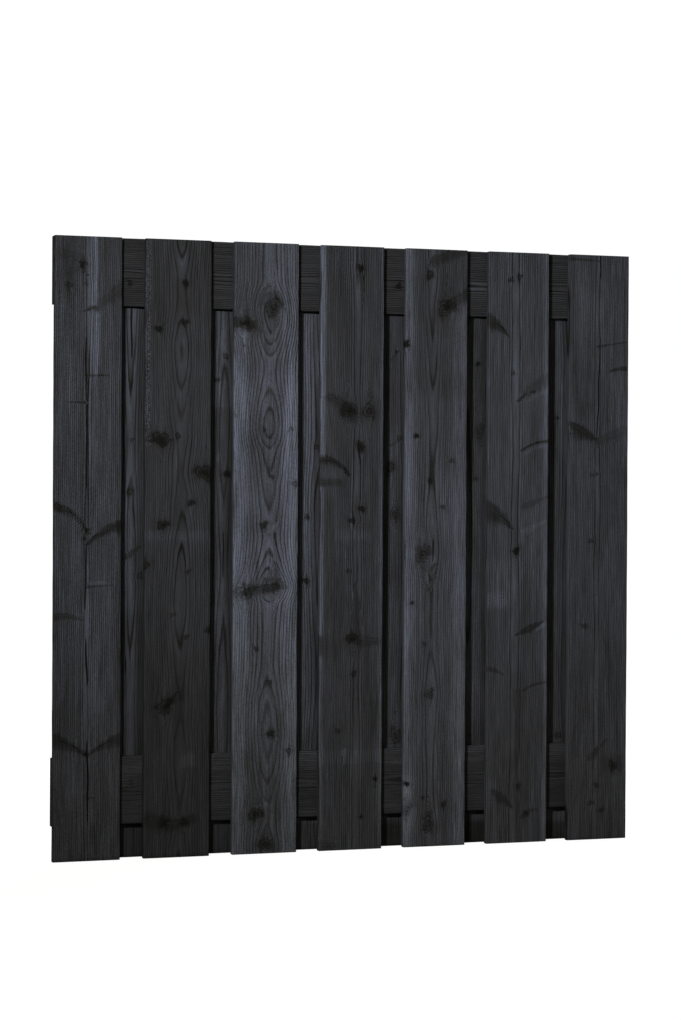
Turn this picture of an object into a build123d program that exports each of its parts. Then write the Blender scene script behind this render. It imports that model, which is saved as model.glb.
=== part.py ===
"""Hit-and-miss garden fence panel of stained softwood boards.

Two flat rails lie between a front row of boards and a back row that covers the gaps of the front
row. Everything is screwed together from the back, so the front shows no fixings.

Frame, in millimetres: X runs along the panel, -Y is its front, Z is up, and the origin is in the
middle of the panel's foot, on the ground.
"""

import os

from build123d import *

# Sawn timber
BOARD_WIDTH = 198.0
BOARD_THICKNESS = 22.0
BOARD_LENGTH = 1800.0
RAIL_WIDTH = 198.0
RAIL_THICKNESS = 22.0
ARRIS_RADIUS = 2.0

# Layout of the boards and rails
FRONT_BOARD_COUNT = 7
BOARD_GAP = 69.0
BOTTOM_RAIL_HEIGHT = 100.0

# Countersunk wood screws, two at each crossing, one high and one low, staggered across the grain
SCREW_DIAMETER = 4.5
SCREW_HEAD_DIAMETER = 9.0
SCREW_HEAD_RIM = 0.6
SCREW_TIP_LENGTH = 6.0
SCREW_SIDES = 8
SCREW_TIP_COVER = 4.0
SCREW_HOLE_CLEARANCE = 0.1
SCREW_RAIL_MARGIN = 40.0
FRONT_SCREW_STAGGER = 17.0
BACK_SCREW_MARGIN = 39.0

# Places that follow from the sizes above
BOARD_PITCH = BOARD_WIDTH + BOARD_GAP
PANEL_WIDTH = FRONT_BOARD_COUNT * BOARD_PITCH - BOARD_GAP
LAYER_STEP = (BOARD_THICKNESS + RAIL_THICKNESS) / 2
RAIL_HEIGHTS = {
    "top_rail": BOARD_LENGTH - RAIL_WIDTH / 2,
    "bottom_rail": BOTTOM_RAIL_HEIGHT + RAIL_WIDTH / 2,
}
FIRST_BOARD_X = (BOARD_WIDTH - PANEL_WIDTH) / 2
FRONT_BOARD_X = [FIRST_BOARD_X + i * BOARD_PITCH for i in range(FRONT_BOARD_COUNT)]
BACK_BOARD_X = [x + BOARD_PITCH / 2 for x in FRONT_BOARD_X[:-1]]
SCREW_LENGTH = BOARD_THICKNESS + RAIL_THICKNESS - SCREW_TIP_COVER
SCREW_RISE = RAIL_WIDTH / 2 - SCREW_RAIL_MARGIN
BACK_SCREW_STAGGER = BOARD_WIDTH / 2 - BACK_SCREW_MARGIN


def sawn_board(width, thickness, length):
    """A board that stands on its end, with its four long arrises rounded."""
    return extrude(RectangleRounded(width, thickness, ARRIS_RADIUS), length)


def upright(x, y):
    """A board of the front or back row."""
    return Pos(x, y, 0) * sawn_board(BOARD_WIDTH, BOARD_THICKNESS, BOARD_LENGTH)


def rail(height):
    """A rail on edge across the whole panel, its middle at the given height."""
    lying = Rot(0, 90, 0) * sawn_board(RAIL_WIDTH, RAIL_THICKNESS, PANEL_WIDTH)
    return Pos(-PANEL_WIDTH / 2, 0, height) * lying


def screw(clearance=0.0):
    """A countersunk screw that points along -Y, its head flush with the plane y = 0.

    With a clearance it is the hole that this screw sits in.
    """
    head = SCREW_HEAD_DIAMETER / 2 + clearance
    shank = SCREW_DIAMETER / 2 + clearance
    end = SCREW_LENGTH + clearance
    rings = {
        clearance: head,
        -SCREW_HEAD_RIM: head,
        shank - head - SCREW_HEAD_RIM: shank,
        SCREW_TIP_LENGTH - end: shank,
    }
    sections = [Pos(0, 0, z) * RegularPolygon(radius, SCREW_SIDES) for z, radius in rings.items()]
    return Rot(-90, 0, 0) * loft([*sections, Vertex(0, 0, -end)], ruled=True)


def crossing_places(x, height, stagger, y):
    """The two screws where a board at x crosses a rail, with heads at depth y."""
    return [Pos(x - stagger, y, height + SCREW_RISE), Pos(x + stagger, y, height - SCREW_RISE)]


def drilled(piece, places):
    """The piece with the holes of the screws that pass through it or end in it."""
    return piece - [place * screw(SCREW_HOLE_CLEARANCE) for place in places]


def driven(places):
    """A group of equal screws."""
    return Compound(children=[place * screw() for place in places])


def build():
    """All pieces of the panel by name."""
    rail_back = RAIL_THICKNESS / 2
    panel_back = LAYER_STEP + BOARD_THICKNESS / 2
    rows = {
        "front_board": (FRONT_BOARD_X, -LAYER_STEP, FRONT_SCREW_STAGGER, rail_back),
        "back_board": (BACK_BOARD_X, LAYER_STEP, BACK_SCREW_STAGGER, panel_back),
    }
    pieces = {}
    rail_screws = {name: [] for name in RAIL_HEIGHTS}
    for row, (board_x, board_y, stagger, head_y) in rows.items():
        row_screws = []
        for number, x in enumerate(board_x, start=1):
            board_screws = []
            for name, height in RAIL_HEIGHTS.items():
                places = crossing_places(x, height, stagger, head_y)
                rail_screws[name] += places
                board_screws += places
            pieces[f"{row}_{number}"] = drilled(upright(x, board_y), board_screws)
            row_screws += board_screws
        pieces[f"{row}_screws"] = driven(row_screws)
    for name, height in RAIL_HEIGHTS.items():
        pieces[name] = drilled(rail(height), rail_screws[name])
    return pieces


os.makedirs("parts", exist_ok=True)
for node, shape in build().items():
    export_step(shape, f"parts/{node}.step")
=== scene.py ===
"""Looks of a hit-and-miss fence panel of black-stained softwood.

Every board and rail of the frame is replaced by a sawn board with eased arrises, cracks and knots in
its mesh, and every screw by a threaded one with a star drive. A board's grain is that of a log: rings
round a heart that wanders along the board, pushed aside by its knots. Knots, streaks and cracks sit
where the photograph shows them, given by its pixels and carried to the board's face by the camera.

A board's own coordinates are millimetres: across its width, into its thickness and up its length.
"""

import math
from collections import namedtuple

import bpy
import numpy as np
from mathutils import Euler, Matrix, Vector


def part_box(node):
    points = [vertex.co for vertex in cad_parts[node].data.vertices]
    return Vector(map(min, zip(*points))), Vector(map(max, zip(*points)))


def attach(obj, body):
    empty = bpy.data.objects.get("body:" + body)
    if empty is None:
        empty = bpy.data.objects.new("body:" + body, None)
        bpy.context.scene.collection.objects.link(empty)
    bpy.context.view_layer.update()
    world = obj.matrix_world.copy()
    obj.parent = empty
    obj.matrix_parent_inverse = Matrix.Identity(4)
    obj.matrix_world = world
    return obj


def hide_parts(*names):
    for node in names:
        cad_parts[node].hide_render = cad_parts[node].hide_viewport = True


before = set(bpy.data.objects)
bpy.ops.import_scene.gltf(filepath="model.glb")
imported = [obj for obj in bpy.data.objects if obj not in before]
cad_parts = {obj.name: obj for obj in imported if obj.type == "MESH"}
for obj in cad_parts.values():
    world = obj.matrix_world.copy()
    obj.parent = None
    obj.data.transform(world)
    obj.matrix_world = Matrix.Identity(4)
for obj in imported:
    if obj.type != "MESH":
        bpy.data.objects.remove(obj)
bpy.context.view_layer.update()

MM = 0.001

# The photograph's frame, and the camera that was fitted to the panel's edges in it
IMAGE_WIDTH = 681
IMAGE_HEIGHT = 1020
PANEL_MIDDLE_ROW = 540
FOCAL_PIXELS = 2449.7
SENSOR_HEIGHT = 36.0
CAMERA_PLACE = Vector((-2.3151, -6.9535, 1.0715))
CAMERA_TURN = Euler([math.radians(angle) for angle in (89.546, -0.2914, -18.2257)])
CAMERA_REACH = 200

# Sawn timber in millimetres, where WAVES are the lengths of the waves that a surface wanders in
ARRIS = 2.2
ARRIS_STEPS = 2
EDGE_STEPS = 4
EDGE_WANDER = 0.9
EDGE_WANDER_REACH = 14.0
EDGE_WAVES = (900, 370, 130)
CUP = 1.0
CUP_LEAST = 0.2
FACE_WAVE = 0.35
FACE_WAVES_ALONG = (620, 233, 97)
FACE_WAVES_ACROSS = (310, 140)
BACK_DENT = 0.25
BACK_WAVE = 0.2
BACK_WAVES = (480, 190)
END_EASE = 0.7
END_EASE_POWER = 9
END_SAW_ERROR = 1.1
END_SAW_REACH = 40.0
END_SLANT = 0.3
LOW_END_SHARE = 0.35
KNOT_SINK = 0.8
KNOT_SINK_RADIUS = 6
KNOT_RIM = 0.85
KNOT_RIM_WIDTH = 0.3
CRACK_DEPTH = 7.0
CRACK_RIM = 2.0
CRACK_SHOULDER = 3.2
CRACK_RIM_SIDE = 0.25
CRACK_SHOULDER_SIDE = 1.1
CRACK_FADE = (0.05, 0.4)
CRACK_WANDER = 2.6
CRACK_WANDER_REACH = 10.0
CRACK_WAVES = (910, 330, 140)

# Grain, where a lobe of a knot's outline has its count, its height and its share of the knot's turn
HEART_WANDER = 3.0
HEART_WAVES = (1900, 730, 410)
ARCH = 1.9
FIBRE_DRIFT = 1000
CONTRAST_WAVE = 0.3
CONTRAST_WAVES = (870, 310)
KNOT_LOBES = ((2, 0.16, 1), (3, 0.14, 2), (5, 0.10, 3), (9, 0.08, 5))
KNOT_TURN = (7, 3)
KNOT_TURN_SPAN = 17
KNOT_PUSH = 0.7
KNOT_SWAY = 2.3
KNOT_RING = 2.6
KNOT_FADE = (0.7, 1.25)
BIG_KNOT = 4.0
BIG_KNOT_DARK = 1.25
SMALL_KNOT_DARK = 1.9
EYE_REACH = 90.0
EYE_RING = 7.5
MARK_REACH = 2.6
STREAK_LINES = 1.7
STREAK_ABOVE = 0.75
STREAK_BELOW = 1.35
STREAK_GRAIN = 1.3
STREAK_EYE = 1.2
STREAK_AS_KNOT = 0.8
STREAK_FALL = 4

# Fineness of the meshes, where a grid is the width of its columns and of its rows at marks
FRONT_GRID = (3.1, 2.8)
OTHER_GRID = (5.8, 5.0)
COLUMN_CLEAR = 0.45
HIDDEN_COLUMN_STEP = 4
PLAIN_ROW = 12.0
ROW_CLEAR = 0.3
ROW_FADE = 1.6
MARK_MARGIN = 5
KNOT_ROWS = 1.7
STREAK_ROWS = 1.5
LINE_TOLERANCE = 0.05

# Screws
SCREW_SIDES = 12
SCREW_RADIUS = 2.25
CORE_RADIUS = 1.6
POINT_RADIUS = 0.05
SCREW_LENGTH = 40.0
SCREW_TIP = 6.0
SMOOTH_SHANK = 14.0
SCREW_SINK = 0.7
HEAD_RADIUS = 4.5
HEAD_RIM = 0.6
HEAD_BEVEL = 0.25
HEAD_BEVEL_DEPTH = 0.2
HEAD_CLEAR = 2.5
THREAD_PITCH = 2.4
THREAD_STEPS = 4
THREAD_START = 0.4
THREAD_END = 0.3
THREAD_SLOPE = 4
STAR_POINTS = 6
STAR_HEIGHT = 0.16
STAR_FLOOR = (1.7, 1.3)
STAR_TOP = (0.15, 1.7)
RECESS_DEPTH = 1.8
RECESS_RADIUS = 2.4
CRATER_DEPTH = 1.0
CRATER_RADIUS = 5.6
CRATER_SLOPE = 0.8
CRATER_GRID = (-6.6, -5.4, -4.2, 0.0, 4.2, 5.4, 6.6)

# Steel
STEEL_DARK = (0.2, 0.2, 0.195)
STEEL_LIGHT = (0.5, 0.5, 0.49)
STEEL_ROUGHNESS = 0.25
GRIME_SCALE = 700.0
GRIME_DETAIL = 4.0
GRIME_ROUGHNESS = 0.3

# A stain level is a brightness of 0 to 255 in the photograph, before the light falls off
LEVEL_SPAN = 128.0

# The stain's colour by its level, lighter where it is thin: neutral when dark, with painted bluish sheen
# when light
STAIN_COLOURS = (
    (8, (0.0030, 0.0030, 0.0028)),
    (20, (0.0114, 0.0115, 0.0109)),
    (40, (0.0281, 0.0287, 0.0309)),
    (57, (0.0474, 0.0490, 0.0570)),
    (82, (0.0920, 0.0982, 0.1220)),
    (115, (0.1675, 0.1815, 0.2275)),
)
# The saturation of the stain's colour, which deepens its painted bluish sheen
STAIN_AND_SHEEN_TINT = 1.2
STAIN_GLOSS = 0.12
STAIN_ROUGHNESS = 0.66
FINE_ROUGHNESS = 0.25
KNOT_POLISH = 0.12
# Painted shade inside the cracks, in stain levels
CRACK_SHADE = 90.0

# Towards the ground, between these heights, the painted bluish sheen fades where less light falls, and the
# rings fade
GROUND_HEIGHTS = (100.0, 900.0)
GROUND_TINT_LOSS = 0.42
GROUND_FADE = 0.3

# The shade through one ring, from light at 0 to dark at 1, with the plain wood's shade and the line's place
RING_SHADES = ((0.0, 0.2), (0.12, 0.0), (0.30, 0.16), (0.58, 0.22), (0.83, 1.0), (0.90, 0.8), (1.0, 0.2))
RING_PLAIN = 0.3
RING_LINE_PLACE = 0.85
RING_SPREAD = 0.55
RING_LEAST = 0.40
KNOT_HIDES_RINGS = 0.75
EYE_STRENGTH = 0.6

# How dark a knot is by the distance from its middle in radii: a core, a body, a rim and a halo
KNOT_SHADES = (
    (0.0, 1.0), (0.35, 0.92), (0.55, 0.62), (0.82, 0.56), (0.98, 0.82),
    (1.14, 0.30), (1.4, 0.14), (2.0, 0.05), (2.6, 0.0),
)

# Where a streak starts to fade and where it is gone, in half widths
STREAK_FADE = (0.55, 1.35)

# Textures along the fibres: the scale across, into and along them per millimetre, detail and roughness
TEXTURES = {
    "wobble": ((0.018, 0.018, 0.0045), 2.0, 0.55),
    "fine": ((0.50, 0.50, 0.014), 5.0, 0.65),
    "broad": ((0.07, 0.07, 0.0035), 3.0, 0.55),
    "speckle": ((0.50, 0.50, 0.25), 3.0, 0.75),
    "patches": ((0.016, 0.016, 0.0032), 2.0, 0.55),
    "grit": ((0.42, 0.42, 0.30), 2.0, 0.55),
}

# How much of the textures goes into the places of the rings, the tone, the marks' edges and the relief
RING_SHIFT = {"wobble": 0.8, "fine": 0.2}
EYE_SHIFT = {"broad": 0.9}
TONE = {"fine": 1.6, "broad": 0.75, "speckle": 1.25, "patches": 0.6}
GRIT = 4.2
KNOT_RAGGED = {"speckle": 0.9, "fine": 1.0}
STREAK_RAGGED = {"speckle": 1.3, "fine": 2.2}
FEATHER = {"fine": 1.8, "speckle": 1.8}
FEATHER_PLAIN = 1.2
FEATHER_LEAST = 0.1
RELIEF = {"fine": 0.6, "speckle": 0.5}
RING_RELIEF = 0.8
RELIEF_STRENGTH = 0.5
RELIEF_HEIGHT = 0.6

# Floor and backdrop, where a glow is what only the camera sees
FLOOR_SIZE = 60.0
FLOOR_FADE = (0.8, 3.0)
FLOOR_GLOW = 0.95
FLOOR_COLOUR = (0.15, 0.15, 0.15, 1)
BACKDROP_GLOW = 1.02
WHITE = (1.0, 1.0, 1.0)
WORLD_FILL = 0.122
WORLD_COLOUR = (1.0, 0.93, 0.58)

# Marks on a board, placed in pixels of the photograph, with their darkness or brightness in stain
# levels: a knot with its radius and its height by its width; a streak from one point to another with its
# half width, the share of that at its end, and its bow; a crack with its width in millimetres and its lean;
# and a lighter or darker zone with the softness of its sides and its roughness
Knot = namedtuple("Knot", "px py radius dark tall", defaults=(1.0,))
Streak = namedtuple("Streak", "px py to_px to_py width dark end bend", defaults=(0.35, 0.0))
Crack = namedtuple("Crack", "px top bottom width lean", defaults=(0.0,))
Zone = namedtuple("Zone", "left right top bottom level soft rough", defaults=(0.0,))

# The log that a board was cut from: its heart's pixel column, the width of a ring in millimetres, how many
# rings lie between the heart and the face at some pixel rows, the stain level of the bare face, and how
# strongly the rings show; on a rail, rows and columns change places
TIMBER_PARTS = "heart ring depth level contrast knots streaks cracks zones"
Timber = namedtuple("Timber", TIMBER_PARTS, defaults=(1.0, (), (), (), ()))

# A broad darker zone low on a board is painted shade, for the light that falls off towards the ground
TIMBERS = {}
TIMBERS["front_board_1"] = Timber(
    heart=87, ring=5.6, level=52, contrast=1.2,
    depth={236: 1.3, 420: 1.8, 640: 1.2, 860: 1.7},
    knots=[
        (83, 264, 3, 18), (86, 284, 1.6, 14), (70, 285, 3.6, 7, 0.7), (88, 530, 1.6, 20),
        (85, 539, 1.6, 18), (85, 754, 2.2, 14),
    ],
    streaks=[
        (83, 264, 88, 275, 1.8, 18), (83, 264, 74, 257, 1.4, 14), (56, 250, 80, 256, 4, 6, 1),
        (54, 275, 78, 268, 3, 5, 1), (98, 306, 84, 311, 2, 24, 0.4, 0.5), (97, 306, 124, 284, 4, 9, 1.3),
        (52, 505, 88, 533, 6, 27, 0.25, 7), (124, 524, 88, 543, 6, 25, 0.25, 4),
        (54, 616, 82, 620, 3.8, 14, 0.3, 2), (50, 739, 87, 756, 8, 17, 0.12, 3),
        (124, 737, 87, 756, 7, 16, 0.12, 3), (87, 375, 110, 375, 1.3, 26), (86, 402, 66, 402, 1.2, 22),
        (88, 586.5, 113, 585, 1.2, 16), (90, 583, 104, 582, 1.8, -12, 0.8), (89, 798, 99, 797, 0.9, 14),
    ],
    cracks=[
        (87, 338, 386, 3.2, 1), (87, 416, 488, 4.6), (87, 543, 610, 3.2), (87, 640, 686, 4, 1.5),
        (87, 740, 822, 3.8, 1),
    ],
    zones=[
        (89, 98, 230, 306, 12, 1.5), (95, 98, 230, 306, 14, 1), (89, 98, 311, 376, 10, 1.5),
        (96, 98.5, 311, 376, 16, 1), (88, 98, 376, 860, 5, 2), (40, 130, 700, 900, -3, 40),
        (99, 122, 236, 305, -6, 6, 0.2), (53, 80, 236, 300, -6, 9),
    ],
)
TIMBERS["front_board_2"] = Timber(
    heart=181, ring=5.2, level=42.5,
    depth={
        236: 9.4, 282: 10.6, 300: 10.6, 350: 9.2, 420: 11, 470: 11.8, 502: 11.2, 560: 9.8, 606: 9.2,
        655: 10.2, 707: 11, 760: 10.2, 810: 11, 860: 10,
    },
    knots=[
        (186, 283, 2.6, 20), (186, 322, 2.2, 18), (159, 329, 3.2, 20, 0.8), (162, 439, 7.8, 28, 0.8),
        (178, 436, 2.6, 14), (205, 473, 7.8, 26, 0.9), (191, 503, 3.2, 18), (163, 525, 5, 26, 0.8),
        (146, 566, 3.2, 13), (188, 572, 2, 14), (173, 615, 2, 12), (186, 637, 2.2, 14), (208, 630, 2.4, 14),
        (165, 707, 7.5, 20, 0.9), (163, 823, 4.6, 10, 0.8), (184, 822, 3.6, 8, 1.2),
    ],
    streaks=[
        (167, 704, 178, 691, 2.4, 12), (150, 438, 163, 442, 3, 10, 1), (158, 330, 166, 322, 1.4, 10),
        (150, 818, 192, 818, 8.5, 9, 0.5, -5),
    ],
    zones=[
        (140, 151, 238, 446, 6, 1.6, 1), (178, 187, 248, 282, 10, 4), (140, 214, 220, 320, -5, 14),
        (140, 214, 531, 541, 6, 2), (183, 196, 754, 766, 12, 3), (130, 225, 640, 900, -6, 50),
    ],
)
TIMBERS["front_board_3"] = Timber(
    heart=269, ring=5.6, level=60, contrast=0.9,
    depth={
        236: 12.4, 280: 12.2, 296: 10.7, 318: 9.4, 334: 10.1, 346: 11.1, 362: 12.3, 372: 12.4, 388: 11.9,
        408: 10.9, 425: 10.4, 440: 11, 448: 12, 472: 13, 508: 13.9, 535: 14.4, 553: 13.9, 569: 12.9,
        588: 11.4, 597: 12.1, 604: 13.1, 640: 13.5, 664: 13.4, 683: 12.9, 706: 11.9, 734: 11.5, 762: 12,
        782: 13, 814: 14.2, 850: 13.6,
    },
    knots=[
        (274, 307, 7.6, 26, 1.1), (245, 323, 9.5, 28, 0.65), (264, 430, 1.5, 22), (292, 429, 1.5, 24),
        (289, 431, 1, 20), (236, 416, 1.6, 18), (272, 477, 2, 24), (264, 525, 3.6, 24), (295, 484, 2.6, 12),
        (274, 585, 9, 24, 0.75), (245, 592, 9.5, 26, 0.7), (256, 649, 2, 22), (270, 682, 1.8, 20),
        (271, 734, 3.6, 22), (289, 751, 2.6, 16), (256, 814, 6, 22), (266, 844, 6, 22),
    ],
    streaks=[
        (268, 284, 259, 305, 1, 12, 1), (270, 285, 287, 312, 1, 12, 1), (247, 322, 262, 330, 4, 8, 0.5),
        (246, 591, 276, 586, 4.4, 16, 1), (270, 531, 275, 525, 2.6, -14, 1),
        (275, 733, 276, 739, 1.2, -16, 1), (252, 808, 266, 804, 2.4, -10, 1),
    ],
    zones=[
        (230, 246, 330, 870, 20, 5), (284, 302, 330, 870, 22, 6), (281, 302, 230, 330, 16, 6),
        (264, 281, 236, 292, 8, 4), (225, 305, 220, 360, -8, 16), (225, 305, 376, 434, 6, 10),
        (225, 305, 540, 612, 8, 12), (225, 305, 735, 880, -8, 20),
    ],
)
TIMBERS["front_board_4"] = Timber(
    heart=357, ring=5, level=45, contrast=1.4,
    depth={236: 4, 420: 4.6, 585: 4, 640: 4.7, 860: 4.2},
    knots=[
        (361, 268, 3.2, 20), (349, 410, 7.4, 17, 1), (369, 411, 5.2, 19, 1.5), (361, 447, 3.6, 20, 1.5),
        (362, 509, 3, 16), (352, 521, 3, 16), (349, 571, 2, 12), (353, 639, 5.5, 22), (354, 674, 2.4, 14),
        (338, 731, 2.2, 12), (375, 779, 1.8, 24), (361, 817, 1.6, 18),
    ],
    streaks=[
        (361, 268, 364, 300, 2.2, 10), (355.5, 583, 354, 634, 1.2, 9, 4.5),
        (375.5, 774, 375.5, 787, 1, 18, 1), (318, 458, 349, 474, 5.4, 22, 0.35, 5.5),
        (352, 414, 330, 396, 7, 11, 0.7, 3), (324, 473, 345, 474, 3.6, -5, 1),
        (321, 482, 338, 481, 3.6, 10, 1), (366, 640, 380, 640, 6, 8), (345, 749, 345, 762, 1.8, -15, 0.8),
        (320, 845, 335, 845, 6, 6),
    ],
    zones=[
        (314, 325.5, 230, 458, 30, 1.6), (314, 323.5, 486, 636, 24, 2), (314, 322.5, 656, 850, 18, 1.4),
        (310, 350, 642, 653, -5, 8), (336, 373, 530, 541, 7, 3), (318, 384, 751, 762, 5, 2),
        (372, 390, 646, 700, 7, 4), (381, 390, 230, 870, 14, 2),
    ],
)
TIMBERS["front_board_5"] = Timber(
    heart=432, ring=5, level=54, contrast=0.95,
    depth={
        236: 7.2, 300: 7.6, 366: 8.6, 406: 9.4, 470: 9.9, 553: 9.1, 589: 9.9, 640: 10.1, 694: 9.2, 780: 9.8,
        850: 9.3,
    },
    knots=[
        (430.5, 275, 3.4, 16, 1.5), (447, 308, 8, 16), (407, 344, 2.8, 44), (416.5, 436, 2, 34),
        (430, 481, 1.7, 22), (452, 461, 2, 16), (443, 507, 1.8, 22), (423, 553, 7, 22, 1.2),
        (412, 603, 1.5, 34), (424, 644, 1.8, 18), (429.5, 694, 4.2, 24), (407, 784, 2.4, 46, 0.7),
        (407, 809, 5, 20), (428, 824, 6, 20, 1.3), (444, 804, 2.6, 16), (423, 798, 1.4, 18),
    ],
    streaks=[
        (436, 259, 470, 246, 5, 13, 1), (448, 304, 470, 292, 5, 14, 1.2), (421, 566, 428, 571, 1.2, 10, 1),
        (435, 564, 428, 571, 1.2, 10, 1), (422, 576, 429, 590, 1.2, 9, 1), (435, 576, 429, 590, 1.2, 9, 1),
    ],
    cracks=[(433, 539, 562, 2.4)],
    zones=[
        (400, 412, 230, 870, 24, 6), (454, 470, 300, 870, 16, 7), (395, 475, 200, 390, -8, 30),
        (395, 475, 372, 480, -6, 14), (405, 412, 775, 796, 10, 4),
    ],
)
TIMBERS["front_board_6"] = Timber(
    heart=515, ring=5.2, level=53, contrast=1.05,
    depth={236: 5.6, 360: 5.3, 500: 5.6, 640: 5.2, 760: 5.6, 860: 5.2},
    knots=[
        (511, 280, 2.4, 18), (520, 277, 2.4, 18), (513.5, 373, 1.8, 14), (516, 551, 3.2, 22),
        (518, 786, 2.2, 12), (526, 814, 2.2, 12),
    ],
    streaks=[
        (492, 321, 509, 336, 6.6, 21, 0.15, 2), (492, 321, 484, 312, 6.6, 21, 0.6),
        (519, 400, 534, 391, 1.6, 24, 1.4, 2), (528, 391, 551, 376, 5, 8, 1.2, 2),
        (530, 399, 551, 390, 2.4, -8, 1, 2), (522, 450, 551, 441, 1.3, 26, 1.1, 3),
        (526, 453, 551, 446, 1.8, -9, 1, 3), (495, 512, 512, 528, 8.4, 21, 0.15, 2),
        (495, 512, 486, 502, 8.4, 21, 0.5), (526, 505, 547, 496, 3.4, 10), (526, 530, 547, 520, 3.4, -9),
        (529, 628, 515, 635, 4, 18, 0.15), (529, 628, 543, 621, 4, 18, 0.3),
        (536, 629, 548, 622, 2, -14, 1), (523, 690, 546, 682, 1.4, 14, 1, 2),
        (501, 797, 512, 807, 5, 14, 0.2, 1), (501, 797, 493, 790, 5, 14, 0.4),
        (521, 816, 536, 809, 2.4, 10, 0.8, 2), (487, 668, 503, 674, 3, 14, 0.4, 1),
        (517.5, 690, 517.5, 840, 2.4, 8),
    ],
    zones=[
        (486, 512, 560, 609, 5, 4), (545, 552, 230, 870, 16, 2), (486, 508, 592, 607, 8, 2.5, 0.4),
        (480, 552, 600, 900, -5, 30),
    ],
)
TIMBERS["front_board_7"] = Timber(
    heart=597, ring=5.4, level=52, contrast=1.2,
    depth={236: 2.5, 400: 2.3, 560: 2.6, 720: 2.3, 860: 2.5},
    knots=[
        (592, 475, 1.6, 16), (597, 474, 1.6, 16), (591, 541, 2.2, 14), (584, 626, 3.6, 12, 0.6),
        (613, 766, 4.4, 20), (596, 785, 2.2, 14), (591, 803, 2.2, 14), (601, 810, 2.2, 14),
    ],
    streaks=[
        (570, 258, 600, 261, 1.6, 18), (599, 346, 628, 342, 1.3, 18), (628, 368, 610, 371, 2.4, 22, 0.4, 1),
        (581, 430, 599, 442, 6.8, 22, 0.15, 1), (581, 430, 571, 423, 6.8, 22, 0.3),
        (597, 441, 624, 430, 3.6, 7, 1.6), (590, 757, 607, 738, 3, 9),
    ],
    cracks=[(598, 252, 278, 2.8), (598, 338, 436, 3.4, -4)],
    zones=[(560, 632, 600, 900, -6, 40), (600, 624, 755, 772, -7, 5), (560, 632, 440, 560, -4, 16)],
)
# The second zone of each back board is painted shade on the strip beside the next front board's edge
TIMBERS["back_board_1"] = Timber(
    heart=131, ring=5, level=54,
    depth={300: 5, 438: 6.4, 560: 5.2, 700: 6.4, 860: 5.4},
    knots=[(130, 492, 3, 18), (140, 576, 3, 8), (132, 440, 1.8, 14)],
    streaks=[(127, 556, 141, 545, 2.4, 14)],
    cracks=[(131, 309, 358, 3.6), (126.5, 657, 673, 2.2)],
    zones=[(114, 170, 822, 880, -20, 3), (138.5, 160, 300, 760, -14, 2), (114, 170, 612, 760, -9, 10)],
)
TIMBERS["back_board_2"] = Timber(
    heart=224, ring=4.8, level=54,
    depth={236: 9, 318: 10.6, 420: 9.4, 560: 10.6, 700: 9.2, 860: 10.4},
    knots=[(226, 356, 2.4, 16, 1.4), (227, 474, 3.4, 18), (217, 380, 2.4, 22, 0.6)],
    cracks=[(223.6, 532, 578, 2.2)],
    zones=[
        (204, 260, 822, 880, -20, 3), (227, 250, 300, 760, -14, 2), (204, 260, 408, 606, -9, 4),
        (204, 260, 606, 760, -4, 4), (215, 222, 383, 406, 9, 2), (216, 221, 452, 463, 12, 2),
    ],
)
TIMBERS["back_board_3"] = Timber(
    heart=320, ring=4.6, level=64,
    depth={236: 12, 420: 13.6, 517: 12.4, 581: 12.6, 670: 14, 760: 12.8, 860: 13.6},
    knots=[(307, 517, 2.4, 22), (306, 581, 3, 24), (317, 447, 2.4, 14)],
    zones=[(290, 346, 822, 880, -20, 3), (314.5, 336, 300, 760, -14, 2), (290, 346, 560, 760, -8, 30)],
)
TIMBERS["back_board_4"] = Timber(
    heart=406, ring=5, level=48,
    depth={236: 6, 515: 7.4, 736: 6.2, 860: 7.2},
    knots=[
        (391, 467, 3.4, 14, 1.8), (395, 515, 4.2, 16, 1.3), (396.5, 352, 1.5, 14), (400, 437, 2.4, 12),
        (396, 736, 5.6, 20, 1.4),
    ],
    streaks=[(391, 445, 402, 438, 1.2, 12, 1), (391, 360, 400, 349, 0.9, 10, 1)],
    zones=[(376, 432, 822, 880, -20, 3), (400.5, 422, 300, 760, -10, 2), (376, 432, 300, 430, -5, 9)],
)
TIMBERS["back_board_5"] = Timber(
    heart=468, ring=5, level=43,
    depth={236: 5, 364: 6.2, 560: 5.2, 700: 6.4, 860: 5.6},
    knots=[(478, 364, 2, 22), (480, 431, 4.4, 14, 1.4), (476, 479, 1.6, 20)],
    zones=[(458, 514, 822, 880, -20, 3), (482.5, 504, 300, 760, -12, 1.5), (458, 514, 480, 720, 5, 15)],
)
TIMBERS["back_board_6"] = Timber(
    heart=568, ring=5, level=55,
    depth={236: 7, 418: 8.2, 620: 7, 860: 8},
    knots=[(558, 418, 1.6, 22), (558, 735, 3, 10)],
    zones=[(540, 596, 822, 880, -20, 3), (563.5, 586, 300, 760, -12, 1.5), (540, 596, 500, 760, -10, 40)],
)
TIMBERS["top_rail"] = Timber(
    heart=282, ring=5, level=35, contrast=1.5,
    depth={60: 4, 200: 4.8, 340: 4.2, 480: 5, 620: 4.2},
    knots=[(399, 286, 2.6, 16), (130, 283, 2.4, 14)],
)
TIMBERS["bottom_rail"] = Timber(
    heart=782, ring=5, level=37, contrast=1.2,
    depth={60: 5, 200: 4.2, 340: 5.2, 480: 4.4, 620: 5.2},
    knots=[(131, 782, 2.6, 7, 0.6)],
    # The first zone is a painted highlight along the rail's top edge
    zones=[(30, 650, 750, 757, 9, 1.5), (545, 650, 740, 840, -8, 20)],
)


def seen_on(px, py, y):
    """The point in millimetres that a pixel shows on the upright plane at depth y."""
    ray = Vector((px - IMAGE_WIDTH / 2, IMAGE_HEIGHT / 2 - py, -FOCAL_PIXELS))
    ray.rotate(CAMERA_TURN)
    reach = (y * MM - CAMERA_PLACE.y) / ray.y
    return (CAMERA_PLACE + ray * reach) / MM


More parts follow.
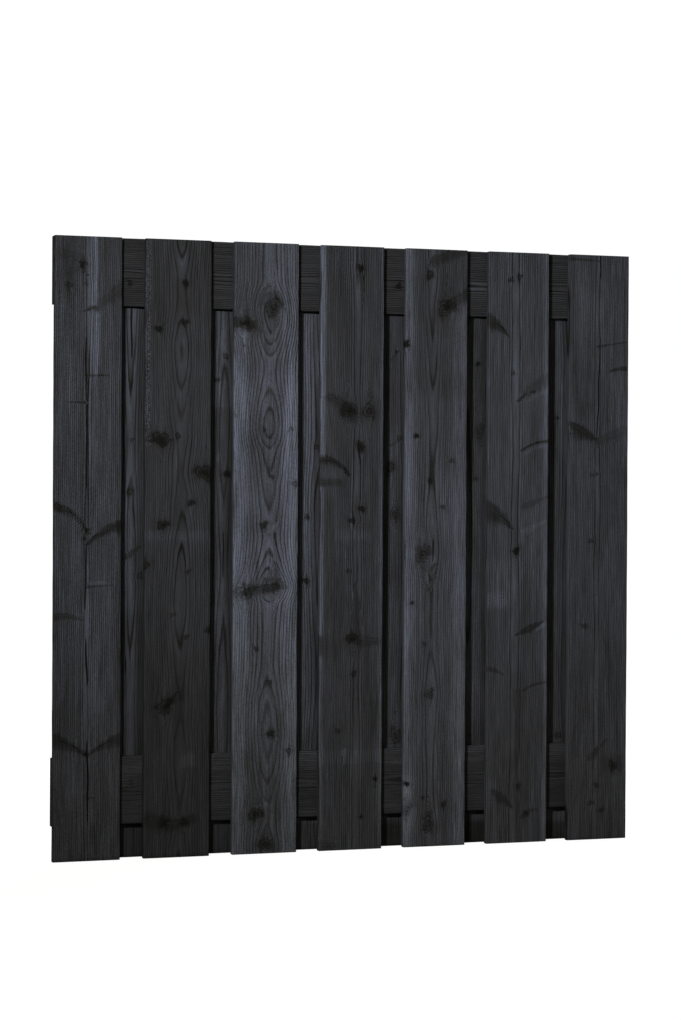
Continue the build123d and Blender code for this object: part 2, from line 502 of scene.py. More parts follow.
class Board:
    """A board or rail of the frame: its box, its own coordinates and its marks.

    Cracks are kept by the place across the board of the lane that they open along.
    """

    def __init__(self, node):
        self.node = node
        self.timber = TIMBERS[node]
        self.knots = [Knot(*mark) for mark in self.timber.knots]
        self.streaks = [Streak(*mark) for mark in self.timber.streaks]
        self.zones = [Zone(*mark) for mark in self.timber.zones]
        low, high = (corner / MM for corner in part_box(node))
        self.low = low
        self.lying = node.endswith("rail")
        size = high - low
        self.width = size.z if self.lying else size.x
        self.length = size.x if self.lying else size.z
        self.thickness = size.y
        self.dice = np.random.default_rng(list(node.encode()))
        middle = seen_on(IMAGE_WIDTH / 2, PANEL_MIDDLE_ROW, low.y)
        self.pixel = (seen_on(IMAGE_WIDTH / 2 + 1, PANEL_MIDDLE_ROW, low.y) - middle).x
        self.lanes = {}
        for crack in (Crack(*mark) for mark in self.timber.cracks):
            lane = self.place(crack.px, IMAGE_HEIGHT / 2)[0]
            self.lanes.setdefault(lane, []).append(crack)

    def place(self, px, py):
        """Across and up on the front face for a pixel of the photograph."""
        point = seen_on(px, py, self.low.y) - self.low
        return (point.z, point.x) if self.lying else (point.x, point.z)

    def world(self, across, into, up):
        """Points of the frame, in metres, for the board's own coordinates."""
        x, z = (up, across) if self.lying else (across, up)
        return np.stack((self.low.x + x, self.low.y + into, self.low.z + z), axis=-1) * MM


def smooth(edge_low, edge_high, value):
    """A soft step from 0 at one edge to 1 at the other."""
    share = np.clip((value - edge_low) / (edge_high - edge_low), 0, 1)
    return share * share * (3 - 2 * share)


def waves(dice, value, lengths):
    """A slow wander between -1 and 1, of waves of the given lengths at random phases."""
    turn = 2 * math.pi
    return sum(np.sin(value * (turn / length) + dice.uniform(0, turn)) for length in lengths) / len(lengths)


def curve_through(points, value):
    """A smooth curve through the points that turns back only at them."""
    place, height = np.array(sorted(points)).T
    step = np.diff(place)
    rise = np.diff(height) / step
    slope = np.zeros(len(place))
    onward = np.flatnonzero(rise[:-1] * rise[1:] > 0)
    slope[onward + 1] = 2 / (1 / rise[onward] + 1 / rise[onward + 1])
    spot = np.clip(np.searchsorted(place, value) - 1, 0, len(step) - 1)
    share = np.clip((value - place[spot]) / step[spot], 0, 1)
    climb = height[spot] + (height[spot + 1] - height[spot]) * smooth(0, 1, share)
    return climb + step[spot] * share * (1 - share) * (slope[spot] * (1 - share) - slope[spot + 1] * share)


def knot_distance(board, knot, across, up):
    """How far a point is from a knot's middle, in radii of its uneven outline."""
    middle_across, middle_up = board.place(knot.px, knot.py)
    radius = knot.radius * board.pixel
    right = (across - middle_across) / radius
    high = (up - middle_up) / (radius * knot.tall)
    angle = np.arctan2(high, right)
    turn = (KNOT_TURN[0] * knot.px + KNOT_TURN[1] * knot.py) % KNOT_TURN_SPAN
    outline = 1 + sum(height * np.sin(count * angle + share * turn) for count, height, share in KNOT_LOBES)
    return np.hypot(right, high) / outline


def streak_distance(board, streak, across, up):
    """How far points are from a streak, and its half width there."""
    start = np.array(board.place(streak.px, streak.py))
    run = np.array(board.place(streak.to_px, streak.to_py)) - start
    points = np.stack((across, up), axis=-1) - start
    share = np.clip(points @ run / (run @ run), 0, 1)
    bow = 4 * share * (1 - share) * streak.bend * board.pixel
    away = points - share[..., None] * run - np.stack((0 * bow, bow), axis=-1)
    side = np.where(away[..., 1] > 0, STREAK_ABOVE, STREAK_BELOW)
    width = side * streak.width * board.pixel * (1 + (streak.end - 1) * share)
    return np.hypot(away[..., 0], away[..., 1]), width


def pushed_aside(board, across, up):
    """Where a fibre would run without knots, and how far inside a knot's grain a point lies."""
    straight = across.copy()
    inside = np.zeros(across.shape)
    for knot in board.knots:
        middle_across, middle_up = board.place(knot.px, knot.py)
        radius = knot.radius * board.pixel
        offset = across - middle_across
        reach = radius * np.exp(-(((up - middle_up) / (KNOT_SWAY * radius * knot.tall)) ** 2))
        straight += KNOT_PUSH * (np.sign(offset) * np.sqrt(np.maximum(offset**2 - reach**2, 0)) - offset)
        if knot.radius > BIG_KNOT:
            inside += np.maximum(reach - np.abs(offset), 0)
    for streak in board.streaks:
        off, width = streak_distance(board, streak, across, up)
        inside += np.maximum(STREAK_GRAIN * width - off, 0)
    return straight, inside


def ring_number(board, straight, inside, into, up):
    """How many rings lie between the heart of the log and a point of the board."""
    timber = board.timber
    if board.lying:
        heart = board.place(IMAGE_WIDTH / 2, timber.heart)[0]
        depth_points = [(board.place(px, timber.heart)[1], rings) for px, rings in timber.depth.items()]
    else:
        heart = board.place(timber.heart, IMAGE_HEIGHT / 2)[0]
        depth_points = [(board.place(timber.heart, py)[1], rings) for py, rings in timber.depth.items()]
    depth = curve_through(depth_points, up) * timber.ring
    sideways = straight - heart + HEART_WANDER * waves(board.dice, up, HEART_WAVES)
    inward = np.abs(depth - into)
    return (np.abs(sideways) ** ARCH + inward**ARCH) ** (1 / ARCH) / timber.ring + inside / KNOT_RING


def stain_level(board, across, into, up):
    """The stain's level, with the zones of the front, and where it is rough."""
    level = np.full(across.shape, float(board.timber.level))
    rough = np.zeros(across.shape)
    for zone in board.zones:
        left, top = board.place(zone.left, zone.top)
        right, bottom = board.place(zone.right, zone.bottom)
        soft = zone.soft * board.pixel
        share = 1 - into / board.thickness
        for value, low, high in ((across, left, right), (up, bottom, top)):
            rise = smooth(low - soft, low + soft, value)
            share = share * (rise - smooth(high - soft, high + soft, value))
        # Some zones are painted shade, and one a painted highlight
        level += zone.level * share
        rough = np.maximum(rough, zone.rough * share)
    return level, rough


def knots_and_streaks(board, across, into, up):
    """What knots, and streaks on the front, do at each point, by the name that the mesh stores it under.

    How far off the nearest knot is counts in its radii, and the nearest dark streak in its half widths.
    """
    marks = {name: np.zeros(across.shape) for name in ("light", "knot", "knot_dark", "streak_dark")}
    marks["eye"] = np.full(across.shape, EYE_REACH)
    marks["knot_off"] = np.full(across.shape, MARK_REACH)
    marks["streak_off"] = np.full(across.shape, MARK_REACH)
    for streak in board.streaks:
        off, width = streak_distance(board, streak, across, up)
        share = np.exp(-((off / width) ** STREAK_FALL))
        if streak.dark < 0:
            marks["light"] -= streak.dark * share
            continue
        nearest = off / width < marks["streak_off"]
        marks["streak_off"] = np.where(nearest, off / width, marks["streak_off"])
        marks["streak_dark"] = np.where(nearest, streak.dark, marks["streak_dark"])
        marks["knot"] = np.maximum(marks["knot"], STREAK_AS_KNOT * share)
        lines = np.minimum(marks["eye"], STREAK_LINES * off)
        marks["eye"] = np.where(off < STREAK_EYE * width, lines, marks["eye"])
    for knot in board.knots:
        distance = knot_distance(board, knot, across, up)
        nearest = distance < marks["knot_off"]
        strength = BIG_KNOT_DARK if knot.radius > BIG_KNOT else SMALL_KNOT_DARK
        marks["knot_off"] = np.where(nearest, distance, marks["knot_off"])
        marks["knot_dark"] = np.where(nearest, strength * knot.dark, marks["knot_dark"])
        marks["knot"] = np.maximum(marks["knot"], 1 - smooth(*KNOT_FADE, distance))
        marks["eye"] = np.minimum(marks["eye"], distance * knot.radius * board.pixel)
    for name in ("light", "streak_dark"):
        marks[name] *= 1 - into / board.thickness
    return marks


def crack_opening(board, cracks, up):
    """Half the opening along a lane of cracks, nought between them, and the lane's lean."""
    opening = np.zeros(up.shape)
    lean = np.zeros(up.shape)
    for crack in cracks:
        top = board.place(crack.px, crack.top)[1]
        bottom = board.place(crack.px, crack.bottom)[1]
        share = (2 * up - top - bottom) / (top - bottom)
        opening = np.maximum(opening, crack.width / 2 * np.sqrt(np.maximum(1 - share**2, 0)))
        lean -= crack.lean / 2 * board.pixel * np.clip(share, -1, 1)
    return opening, lean


def with_extra_lines(lines, extra, clear):
    """Grid lines with extra ones, without the plain lines too close to those."""
    extra = np.array(sorted(set(extra)))
    if not len(extra):
        return lines
    inner = lines[1:-1]
    near = np.abs(inner[:, None] - extra).min(axis=1) < clear
    return np.unique(np.concatenate((lines[:1], inner[~near], extra, lines[-1:])))


def section_columns(board, column, screws):
    """Places across the board for its grid, closer together at arrises, cracks and screws."""
    arris = ARRIS * (1 - np.cos(np.linspace(0, math.pi / 2, ARRIS_STEPS + 1)))
    flat = np.linspace(ARRIS, board.width - ARRIS, round((board.width - 2 * ARRIS) / column) + 1)
    extra = []
    for lane in board.lanes:
        extra += [lane + step for step in (-CRACK_SHOULDER, -CRACK_RIM, 0, CRACK_RIM, CRACK_SHOULDER)]
    for across, _ in screws:
        extra += [across + step for step in CRATER_GRID]
    flat = with_extra_lines(flat, np.round(extra, 2), COLUMN_CLEAR * column)
    return np.concatenate((arris[:-1], flat, (board.width - arris[:-1])[::-1]))


def row_lines(board, mark_row, screws):
    """Places along the board for its grid, closer together at knots, streaks, screws and ends."""
    along = np.arange(0, board.length, 1.0)
    row = np.full(along.shape, PLAIN_ROW)
    marks = []
    for knot in board.knots:
        off = np.abs(along - board.place(knot.px, knot.py)[1])
        marks.append((off, KNOT_ROWS * knot.radius * knot.tall))
    for streak in board.streaks:
        ends = [board.place(streak.px, streak.py)[1], board.place(streak.to_px, streak.to_py)[1]]
        off = np.maximum(min(ends) - along, along - max(ends))
        marks.append((off, STREAK_ROWS * streak.width))
    for off, pixels in marks:
        reach = MARK_MARGIN + pixels * board.pixel
        row = np.minimum(row, mark_row + (PLAIN_ROW - mark_row) * smooth(reach, ROW_FADE * reach, off))
    steps = np.cumsum(1 / row)
    plain = np.interp(np.linspace(steps[0], steps[-1], round(steps[-1])), steps, along)
    plain = END_EASE + (plain - plain[0]) * (board.length - 2 * END_EASE) / (plain[-1] - plain[0])
    extra = [up + step for _, up in screws for step in CRATER_GRID]
    plain = with_extra_lines(plain, np.round(extra, 2), ROW_CLEAR * PLAIN_ROW)
    return np.concatenate(([0.0], plain, [board.length]))


def section_grid(board, columns):
    """Across and into of a section's points, a grid whose outer points are the board's surface."""
    near_edge = np.minimum(columns, board.width - columns)
    rise = np.clip(1 - near_edge / ARRIS, 0, 1)
    front = ARRIS * (1 - np.sqrt(1 - rise**2))
    share = np.linspace(0, 1, EDGE_STEPS + 1)
    into = front[:, None] + share * (board.thickness - 2 * front)[:, None]
    return np.repeat(columns[:, None], EDGE_STEPS + 1, axis=1), into


def outline_of(column_count, back_columns):
    """The outer points of a section grid: front, right edge, back and left edge."""
    last = column_count - 1
    front = [(c, 0) for c in range(column_count)]
    right = [(last, j) for j in range(1, EDGE_STEPS)]
    back = [(c, EDGE_STEPS) for c in reversed(back_columns)]
    left = [(0, j) for j in range(EDGE_STEPS - 1, 0, -1)]
    return np.array(front + right + back + left)


def end_faces(index, back_columns):
    """The faces of a board's end: quads from the front on, then wider faces along the back."""
    rest = index[:, :EDGE_STEPS]
    corners = (rest[:-1, :-1], rest[:-1, 1:], rest[1:, 1:], rest[1:, :-1])
    faces = np.stack(corners, axis=-1).reshape(-1, 4).tolist()
    for start, stop in zip(back_columns[:-1], back_columns[1:]):
        inner = index[start : stop + 1, EDGE_STEPS - 1].tolist()
        faces.append(index[[start, stop], EDGE_STEPS].tolist() + inner[::-1])
    return faces


def stitched(ring, rows):
    """Quads between rows of points, each row a closed ring."""
    place = np.arange(ring)
    following = np.roll(place, -1)
    starts = (np.arange(rows - 1) * ring)[:, None]
    corners = (starts + place, starts + following, starts + ring + following, starts + ring + place)
    return np.stack(corners, axis=-1).reshape(-1, 4)


def sawn_surface(board, across, into, up, screws):
    """Coordinates moved inwards by cupping, saw waves, knots, cracks, craters and ends, and the splits."""
    front_share = (1 - into / board.thickness) ** 2
    back_share = (into / board.thickness) ** 2
    middle = board.width / 2
    dice = board.dice
    sink = dice.uniform(CUP_LEAST, 1.0) * CUP * ((across - middle) / middle) ** 2
    sink += FACE_WAVE * (1 + waves(dice, up, FACE_WAVES_ALONG) * waves(dice, across, FACE_WAVES_ACROSS))
    for knot in board.knots:
        rim = knot_distance(board, knot, across, up) - KNOT_RIM
        sink += KNOT_SINK * np.exp(-((rim / KNOT_RIM_WIDTH) ** 2)) * min(1, knot.radius / KNOT_SINK_RADIUS)
    split = np.zeros(across.shape)
    moved = across.copy()
    for lane, cracks in board.lanes.items():
        opening, lean = crack_opening(board, cracks, up)
        offset = across - lane
        gap = np.abs(offset)
        wander = lean + CRACK_WANDER * waves(dice, up, CRACK_WAVES)
        moved += wander * np.exp(-((offset / CRACK_WANDER_REACH) ** 2))
        for place, side in ((CRACK_RIM, CRACK_RIM_SIDE), (CRACK_SHOULDER, CRACK_SHOULDER_SIDE)):
            on_line = np.abs(gap - place) < LINE_TOLERANCE
            moved += np.where(on_line, np.sign(offset) * (opening + side - place), 0)
        open_share = smooth(*CRACK_FADE, opening)
        split = np.maximum(split, np.where(gap < CRACK_RIM + LINE_TOLERANCE, open_share, 0))
        sink += np.where(gap < LINE_TOLERANCE, CRACK_DEPTH * open_share, 0)
    dent = BACK_DENT + BACK_WAVE * waves(dice, up, BACK_WAVES)
    for screw_across, screw_up in screws:
        distance = np.hypot(across - screw_across, up - screw_up) / CRATER_RADIUS
        dent = np.maximum(dent, CRATER_DEPTH * (1 - smooth(CRATER_SLOPE, 1.0, distance)))
    into = into + front_share * sink - back_share * dent
    for edge, inward in ((0, 1), (board.width, -1)):
        near = np.clip(1 - np.abs(across - edge) / EDGE_WANDER_REACH, 0, 1)
        moved += inward * near * EDGE_WANDER / 2 * (1 + waves(dice, up, EDGE_WAVES))
    for end, inward in ((0, 1), (board.length, -1)):
        near = np.clip(1 - np.abs(up - end) / END_SAW_REACH, 0, 1)
        low_end = end == 0 and not board.lying
        error = dice.uniform(0, LOW_END_SHARE if low_end else 1)
        error = error + dice.uniform(0, END_SLANT) * across / board.width
        up = up + inward * near * END_SAW_ERROR * error / (1 + END_SLANT)
    return moved, into, up, split * front_share


def timber_mesh(board, column, mark_row, screws):
    """The board as a closed mesh with its grain stored at its points."""
    columns = section_columns(board, column, screws)
    rows = row_lines(board, mark_row, screws)
    last = len(columns) - 1
    step = 1 if screws else HIDDEN_COLUMN_STEP
    arris = list(range(ARRIS_STEPS + 1))
    between = range(ARRIS_STEPS, last - ARRIS_STEPS, step)
    back_columns = sorted({*arris, *between, *(last - c for c in arris)})
    grid_across, grid_into = section_grid(board, columns)
    outline_c, outline_j = outline_of(len(columns), back_columns).T
    inner = [(c, j) for c in range(1, last) for j in range(1, EDGE_STEPS)]
    inner_c, inner_j = np.array(inner).T
    ring = len(outline_c)
    all_c = np.concatenate((np.tile(outline_c, len(rows)), inner_c, inner_c))
    all_j = np.concatenate((np.tile(outline_j, len(rows)), inner_j, inner_j))
    across = grid_across[all_c, all_j]
    into = grid_into[all_c, all_j]
    up = np.concatenate((np.repeat(rows, ring), np.repeat((0.0, board.length), len(inner))))

    faces = stitched(ring, len(rows)).tolist()
    for number, first in ((0, 0), (1, (len(rows) - 1) * ring)):
        index = np.zeros((len(columns), EDGE_STEPS + 1), int)
        index[outline_c, outline_j] = first + np.arange(ring)
        index[inner_c, inner_j] = len(rows) * ring + number * len(inner) + np.arange(len(inner))
        cap = end_faces(index, back_columns)
        faces += [face[::-1] for face in cap] if number else cap
    if board.lying:
        faces = [face[::-1] for face in faces]

    moved, sunk, along, split = sawn_surface(board, across, into, up, screws)
    straight, inside = pushed_aside(board, moved, up)
    stored = {"rings": ring_number(board, straight, inside, into, up), "split": split}
    stored["level"], stored["rough"] = stain_level(board, moved, into, up)
    stored.update(knots_and_streaks(board, moved, into, up))
    # How near the ground a point is, where the painted sheen and the rings fade
    soil = 1 - smooth(*GROUND_HEIGHTS, board.low.z + (across if board.lying else up))
    contrast = board.timber.contrast * (1 + CONTRAST_WAVE * waves(board.dice, up, CONTRAST_WAVES))
    stored.update(soil=soil, contrast=contrast * (1 - GROUND_FADE * soil))
    inset = np.where((up == 0) | (up == board.length), END_EASE, 0)
    moved = moved + inset * np.clip(1 - 2 * across / board.width, -1, 1) ** END_EASE_POWER
    sunk = sunk + inset * (1 - 2 * into / board.thickness)

    mesh = bpy.data.meshes.new(board.node)
    mesh.from_pydata(board.world(moved, sunk, along).tolist(), [], faces)
    mesh.shade_smooth()
    drift = board.dice.uniform(0, FIBRE_DRIFT, 3)
    fibre = (np.stack((straight, into, up), axis=-1) + drift).astype(np.float32)
    mesh.attributes.new("fibre", "FLOAT_VECTOR", "POINT").data.foreach_set("vector", fibre.ravel())
    for name, values in stored.items():
        mesh.attributes.new(name, "FLOAT", "POINT").data.foreach_set("value", values.astype(np.float32))
    return mesh


def placed(name, data):
    """A new object of the scene."""
    made = bpy.data.objects.new(name, data)
    bpy.context.scene.collection.objects.link(made)
    return made


def show(name, mesh, material, slot, *nodes):
    """A piece of the panel that stands for the given nodes."""
    piece = placed(name, mesh)
    mesh.materials.append(material)
    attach(piece, "root")
    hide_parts(*nodes)


def node(tree, kind, inputs=(), **settings):
    """A shader node with its settings, and its inputs set to values or linked."""
    made = tree.nodes.new(kind)
    for name, value in settings.items():
        setattr(made, name, value)
    for name, value in dict(inputs).items():
        if isinstance(value, bpy.types.NodeSocket):
            tree.links.new(value, made.inputs[name])
        else:
            made.inputs[name].default_value = value
    return made


def maths(tree, operation, *values):
    """The output of a maths node."""
    return node(tree, "ShaderNodeMath", dict(enumerate(values)), operation=operation).outputs[0]


def attribute(tree, name, output="Fac"):
    """A value stored at the mesh's points."""
    return node(tree, "ShaderNodeAttribute", attribute_name=name).outputs[output]


def noise(tree, fibre, scale, detail, roughness):
    """Noise along the fibres, between -0.5 and 0.5."""
    stretched = node(tree, "ShaderNodeVectorMath", {0: fibre, 1: scale}, operation="MULTIPLY").outputs[0]
    inputs = {"Vector": stretched, "Scale": 1.0, "Detail": detail, "Roughness": roughness}
    return maths(tree, "SUBTRACT", node(tree, "ShaderNodeTexNoise", inputs).outputs["Fac"], 0.5)


def with_textures(tree, value, textures, amounts):
    """A value with some of each texture added."""
    for name, amount in amounts.items():
        value = maths(tree, "MULTIPLY_ADD", textures[name], amount, value)
    return value


def fade(tree, value, start, stop, first, last):
    """A soft change from a first to a last value, between two places."""
    inputs = {"Value": value, 1: start, 2: stop, 3: first, 4: last}
    return node(tree, "ShaderNodeMapRange", inputs, interpolation_type="SMOOTHSTEP").outputs[0]


def mixed(tree, share, first, last):
    """A colour between two others."""
    inputs = {0: share, 6: (*first, 1), 7: (*last, 1)}
    return node(tree, "ShaderNodeMix", inputs, data_type="RGBA").outputs[2]


def ramp(tree, value, stops, span=1.0, interpolation="LINEAR"):
    """The colour for a value of up to a span, from stops of a value and a colour or a grey."""
    made = node(tree, "ShaderNodeValToRGB", {"Fac": maths(tree, "DIVIDE", value, span)})
    made.color_ramp.interpolation = interpolation
    elements = made.color_ramp.elements
    for spot, (position, colour) in enumerate(stops):
        stop = elements[spot] if spot < 2 else elements.new(position / span)
        stop.position = position / span
        stop.color = (*(colour if isinstance(colour, tuple) else (colour,) * 3), 1)
    return made.outputs["Color"]


def ring_line(tree, rings):
    """The shade through a ring: a light edge, plain wood, and the dark line of late wood."""
    share = maths(tree, "FRACT", maths(tree, "ADD", rings, RING_LINE_PLACE))
    return maths(tree, "SUBTRACT", ramp(tree, share, RING_SHADES, interpolation="EASE"), RING_PLAIN)


def ring_shade(tree, textures, knot):
    """The shade of the board's rings, each of its own strength, and of its knots' rings."""
    rings = with_textures(tree, attribute(tree, "rings"), textures, RING_SHIFT)
    seed = maths(tree, "FLOOR", maths(tree, "ADD", rings, RING_LINE_PLACE))
    strength = node(tree, "ShaderNodeTexWhiteNoise", {"W": seed}, noise_dimensions="1D").outputs["Value"]
    strength = maths(tree, "MULTIPLY_ADD", strength, RING_SPREAD, RING_LEAST)
    strength = maths(tree, "MULTIPLY", strength, attribute(tree, "contrast"))
    bare = maths(tree, "MULTIPLY_ADD", knot, -KNOT_HIDES_RINGS, 1.0)
    strength = maths(tree, "MULTIPLY", strength, bare)
    shade = maths(tree, "MULTIPLY", ring_line(tree, rings), strength)
    eye = maths(tree, "DIVIDE", attribute(tree, "eye"), EYE_RING)
    eye = ring_line(tree, with_textures(tree, eye, textures, EYE_SHIFT))
    return maths(tree, "MULTIPLY_ADD", maths(tree, "MULTIPLY", eye, knot), EYE_STRENGTH, shade)


def mark_shade(tree, textures):
    """How much darker knots and streaks are, with ragged and feathered edges."""
    knot_off = with_textures(tree, attribute(tree, "knot_off"), textures, KNOT_RAGGED)
    knot_share = ramp(tree, knot_off, KNOT_SHADES, MARK_REACH)
    mark = maths(tree, "MULTIPLY", knot_share, attribute(tree, "knot_dark"))
    streak_off = with_textures(tree, attribute(tree, "streak_off"), textures, STREAK_RAGGED)
    streak_share = fade(tree, streak_off, *STREAK_FADE, 1.0, 0.0)
    mark = maths(tree, "MULTIPLY_ADD", streak_share, attribute(tree, "streak_dark"), mark)
    feather = with_textures(tree, FEATHER_PLAIN, textures, FEATHER)
    return maths(tree, "MULTIPLY", mark, maths(tree, "MAXIMUM", feather, FEATHER_LEAST))


def new_material(name):
    """A material with its nodes and its shader."""
    material = bpy.data.materials.new(name)
    material.use_nodes = True
    return material, material.node_tree, material.node_tree.nodes["Principled BSDF"]


def stained_wood(name):
    """Fine-sawn softwood with a black stain that is thinner between the rings."""
    material, tree, shader = new_material(name)
    fibre = attribute(tree, "fibre", "Vector")
    knot = attribute(tree, "knot")
    textures = {kind: noise(tree, fibre, *look) for kind, look in TEXTURES.items()}

    rings = ring_shade(tree, textures, knot)
    tone = with_textures(tree, maths(tree, "SUBTRACT", 1.0, rings), textures, TONE)
    grit = maths(tree, "MULTIPLY", textures["grit"], attribute(tree, "rough"))
    tone = maths(tree, "MULTIPLY_ADD", grit, GRIT, tone)
    level = maths(tree, "ADD", attribute(tree, "level"), attribute(tree, "light"))
    level = maths(tree, "MULTIPLY", level, tone)
    level = maths(tree, "SUBTRACT", level, mark_shade(tree, textures))
    # Painted shade darkens the cracks
    level = maths(tree, "MULTIPLY_ADD", attribute(tree, "split"), -CRACK_SHADE, level)
    stain = ramp(tree, level, STAIN_COLOURS, LEVEL_SPAN)
    # The saturation deepens the painted bluish sheen, less of it towards the ground
    tint = maths(tree, "MULTIPLY_ADD", attribute(tree, "soil"), -GROUND_TINT_LOSS, STAIN_AND_SHEEN_TINT)
    stain = node(tree, "ShaderNodeHueSaturation", {"Saturation": tint, "Color": stain})
    tree.links.new(stain.outputs["Color"], shader.inputs["Base Color"])

    rough = maths(tree, "MULTIPLY_ADD", textures["fine"], FINE_ROUGHNESS, STAIN_ROUGHNESS)
    rough = maths(tree, "MULTIPLY_ADD", knot, -KNOT_POLISH, rough)
    tree.links.new(rough, shader.inputs["Roughness"])
    shader.inputs["Specular IOR Level"].default_value = STAIN_GLOSS

    height = with_textures(tree, maths(tree, "MULTIPLY", rings, -RING_RELIEF), textures, RELIEF)
    relief = {"Height": height, "Strength": RELIEF_STRENGTH, "Distance": RELIEF_HEIGHT * MM}
    tree.links.new(node(tree, "ShaderNodeBump", relief).outputs["Normal"], shader.inputs["Normal"])
    return material


def brushed_steel(name):
    """Stainless steel with a little grime."""
    material, tree, shader = new_material(name)
    place = node(tree, "ShaderNodeTexCoord").outputs["Object"]
    inputs = {"Vector": place, "Scale": GRIME_SCALE, "Detail": GRIME_DETAIL}
    grime = node(tree, "ShaderNodeTexNoise", inputs).outputs["Fac"]
    tree.links.new(mixed(tree, grime, STEEL_DARK, STEEL_LIGHT), shader.inputs["Base Color"])
    rough = maths(tree, "MULTIPLY_ADD", grime, GRIME_ROUGHNESS, STEEL_ROUGHNESS)
    tree.links.new(rough, shader.inputs["Roughness"])
    shader.inputs["Metallic"].default_value = 1.0
    return material


def screw_places(name):
    """The middles of the screw heads of a node, in millimetres, read from the frame."""
    points = np.array([vertex.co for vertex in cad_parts[name].data.vertices]) / MM
    heads = points[points[:, 1] > points[:, 1].max() - LINE_TOLERANCE]
    places = []
    while len(heads):
        close = np.linalg.norm(heads - heads[0], axis=1) < HEAD_CLEAR * HEAD_RADIUS
        places.append((heads[close].min(axis=0) + heads[close].max(axis=0)) / 2)
        heads = heads[~close]
    return places


def screw_rings(angle):
    """Depths and radii of a screw's rings, from its recess over its head and down to its tip."""
    star = 1 + STAR_HEIGHT * np.cos(STAR_POINTS * angle)
    rings = [(RECESS_DEPTH, POINT_RADIUS)]
    rings += [(depth, radius * star) for depth, radius in (STAR_FLOOR, STAR_TOP)]
    rings += [
        (0.0, RECESS_RADIUS),
        (0.0, HEAD_RADIUS - HEAD_BEVEL),
        (HEAD_BEVEL_DEPTH, HEAD_RADIUS),
        (HEAD_RIM, HEAD_RADIUS),
        (HEAD_RIM + HEAD_RADIUS - SCREW_RADIUS, SCREW_RADIUS),
        (SMOOTH_SHANK, SCREW_RADIUS),
    ]
    thread_top = SMOOTH_SHANK + THREAD_START
    for depth in np.arange(thread_top, SCREW_LENGTH - THREAD_END, THREAD_PITCH / THREAD_STEPS):
        turn = (depth / THREAD_PITCH - angle / (2 * math.pi)) % 1
        crest = np.clip(1 - np.abs(turn - 0.5) * THREAD_SLOPE, 0, 1)
        taper = min(1, (SCREW_LENGTH - depth) / SCREW_TIP)
        rings.append((depth, taper * (CORE_RADIUS + (SCREW_RADIUS - CORE_RADIUS) * crest)))
    return rings + [(SCREW_LENGTH, POINT_RADIUS)]


def screws_mesh(name, places):
    """All the screws of a node in one mesh, each sunk a little below the wood."""
    angle = np.linspace(0, 2 * math.pi, SCREW_SIDES, endpoint=False)
    rings = screw_rings(angle)
    points = []
    for depth, radius in rings:
        ring = (radius * np.cos(angle), np.full(SCREW_SIDES, -depth), radius * np.sin(angle))
        points.append(np.stack(ring, axis=-1))
    points = np.concatenate(points)
    sides = stitched(SCREW_SIDES, len(rings))[:, [0, 3, 2, 1]]
    top = np.arange(SCREW_SIDES)
    ends = np.stack((top, len(points) - SCREW_SIDES + top[::-1]))
    vertices = []
    faces = []
    for number, middle in enumerate(places):
        first = number * len(points)
        vertices.append(points + middle - (0, SCREW_SINK, 0))
        faces += (sides + first).tolist() + (ends + first).tolist()
    mesh = bpy.data.meshes.new(name)
    mesh.from_pydata((np.concatenate(vertices) * MM).tolist(), [], faces)
    return mesh


def screws_in(board, places):
    """Across and up of the screw heads in a board's back face."""
    back = board.low.y + board.thickness
    local = [place - np.array(board.low) for place in places if abs(place[1] - back) < HEAD_RIM]
    spots = [(point[2], point[0]) if board.lying else (point[0], point[2]) for point in local]
    return [(across, up) for across, up in spots if 0 < across < board.width and 0 < up < board.length]


def build_panel():
    """All the pieces of the panel."""
    woods = {slot: stained_wood(slot) for slot in ("front_board_wood", "back_board_wood", "rail_wood")}
    steel = brushed_steel("screw_steel")
    screws = {name: screw_places(name) for name in ("front_board_screws", "back_board_screws")}
    for name, places in screws.items():
        show(f"{name}_threaded", screws_mesh(name, places), steel, "screw_steel", name)
    heads = [place for places in screws.values() for place in places]
    for name in TIMBERS:
        board = Board(name)
        front = name.startswith("front")
        slot = "rail_wood" if board.lying else "front_board_wood" if front else "back_board_wood"
        mesh = timber_mesh(board, *(FRONT_GRID if front else OTHER_GRID), screws_in(board, heads))
        show(f"{name}_timber", mesh, woods[slot], slot, name)


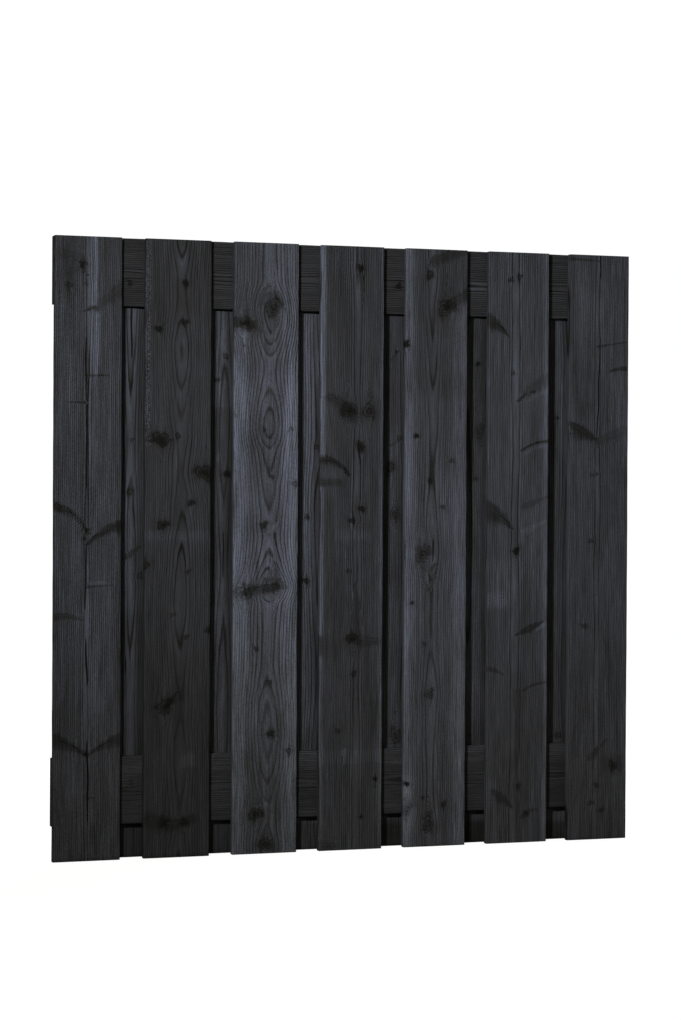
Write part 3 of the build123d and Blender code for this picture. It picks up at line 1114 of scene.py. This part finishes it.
def pale_floor():
    """A pale floor that fades into the white backdrop."""
    half = FLOOR_SIZE / 2
    corners = [(-half, -half, 0), (half, -half, 0), (half, half, 0), (-half, half, 0)]
    mesh = bpy.data.meshes.new("floor")
    mesh.from_pydata(corners, [], [(0, 1, 2, 3)])
    floor = placed("floor", mesh)
    material, tree, _ = new_material("floor")
    tree.nodes.clear()
    place = node(tree, "ShaderNodeTexCoord").outputs["Object"]
    distance = node(tree, "ShaderNodeVectorMath", {0: place}, operation="LENGTH").outputs["Value"]
    glow = fade(tree, distance, *FLOOR_FADE, FLOOR_GLOW, BACKDROP_GLOW)
    seen = node(tree, "ShaderNodeLightPath").outputs["Is Camera Ray"]
    shine = node(tree, "ShaderNodeEmission", {"Strength": maths(tree, "MULTIPLY", glow, seen)}).outputs[0]
    paper = node(tree, "ShaderNodeBsdfDiffuse", {"Color": FLOOR_COLOUR}).outputs[0]
    both = node(tree, "ShaderNodeAddShader", {0: shine, 1: paper}).outputs[0]
    node(tree, "ShaderNodeOutputMaterial", {"Surface": both})
    mesh.materials.append(material)


def white_backdrop():
    """A world that is white behind the panel and gives it a little light from all around."""
    world = bpy.data.worlds.new("backdrop")
    bpy.context.scene.world = world
    world.use_nodes = True
    tree = world.node_tree
    background = tree.nodes["Background"]
    seen = node(tree, "ShaderNodeLightPath").outputs["Is Camera Ray"]
    strength = maths(tree, "MULTIPLY_ADD", seen, BACKDROP_GLOW - WORLD_FILL, WORLD_FILL)
    tree.links.new(strength, background.inputs["Strength"])
    tree.links.new(mixed(tree, seen, WORLD_COLOUR, WHITE), background.inputs["Color"])


def soft_light(name, place, aim, size, power, spread):
    """A square studio light that faces a point, with its spread in degrees."""
    light = bpy.data.lights.new(name, "AREA")
    light.size = size
    light.energy = power
    light.spread = math.radians(spread)
    lamp = placed(name, light)
    lamp.location = place
    lamp.rotation_euler = (Vector(aim) - Vector(place)).to_track_quat("-Z", "Y").to_euler()


def camera():
    """The photograph's camera."""
    lens = bpy.data.cameras.new("camera")
    lens.sensor_fit = "VERTICAL"
    lens.sensor_height = SENSOR_HEIGHT
    lens.lens = FOCAL_PIXELS * SENSOR_HEIGHT / IMAGE_HEIGHT
    lens.clip_end = CAMERA_REACH
    made = placed("camera", lens)
    made.location = CAMERA_PLACE
    made.rotation_euler = CAMERA_TURN
    bpy.context.scene.camera = made


build_panel()
pale_floor()
white_backdrop()
soft_light("key", place=(-2.286, -3.067, 2.35), aim=(1.0, 0, 1.05), size=0.32, power=29, spread=75)
soft_light("fill", place=(2.6, -5.2, 2.2), aim=(0.4, 0, 0.8), size=2.0, power=12, spread=180)
soft_light("back", place=(1.9, 4.4, 2.6), aim=(0, 0, 0.9), size=1.6, power=230, spread=120)
camera()
bpy.context.scene.view_settings.view_transform = "Standard"
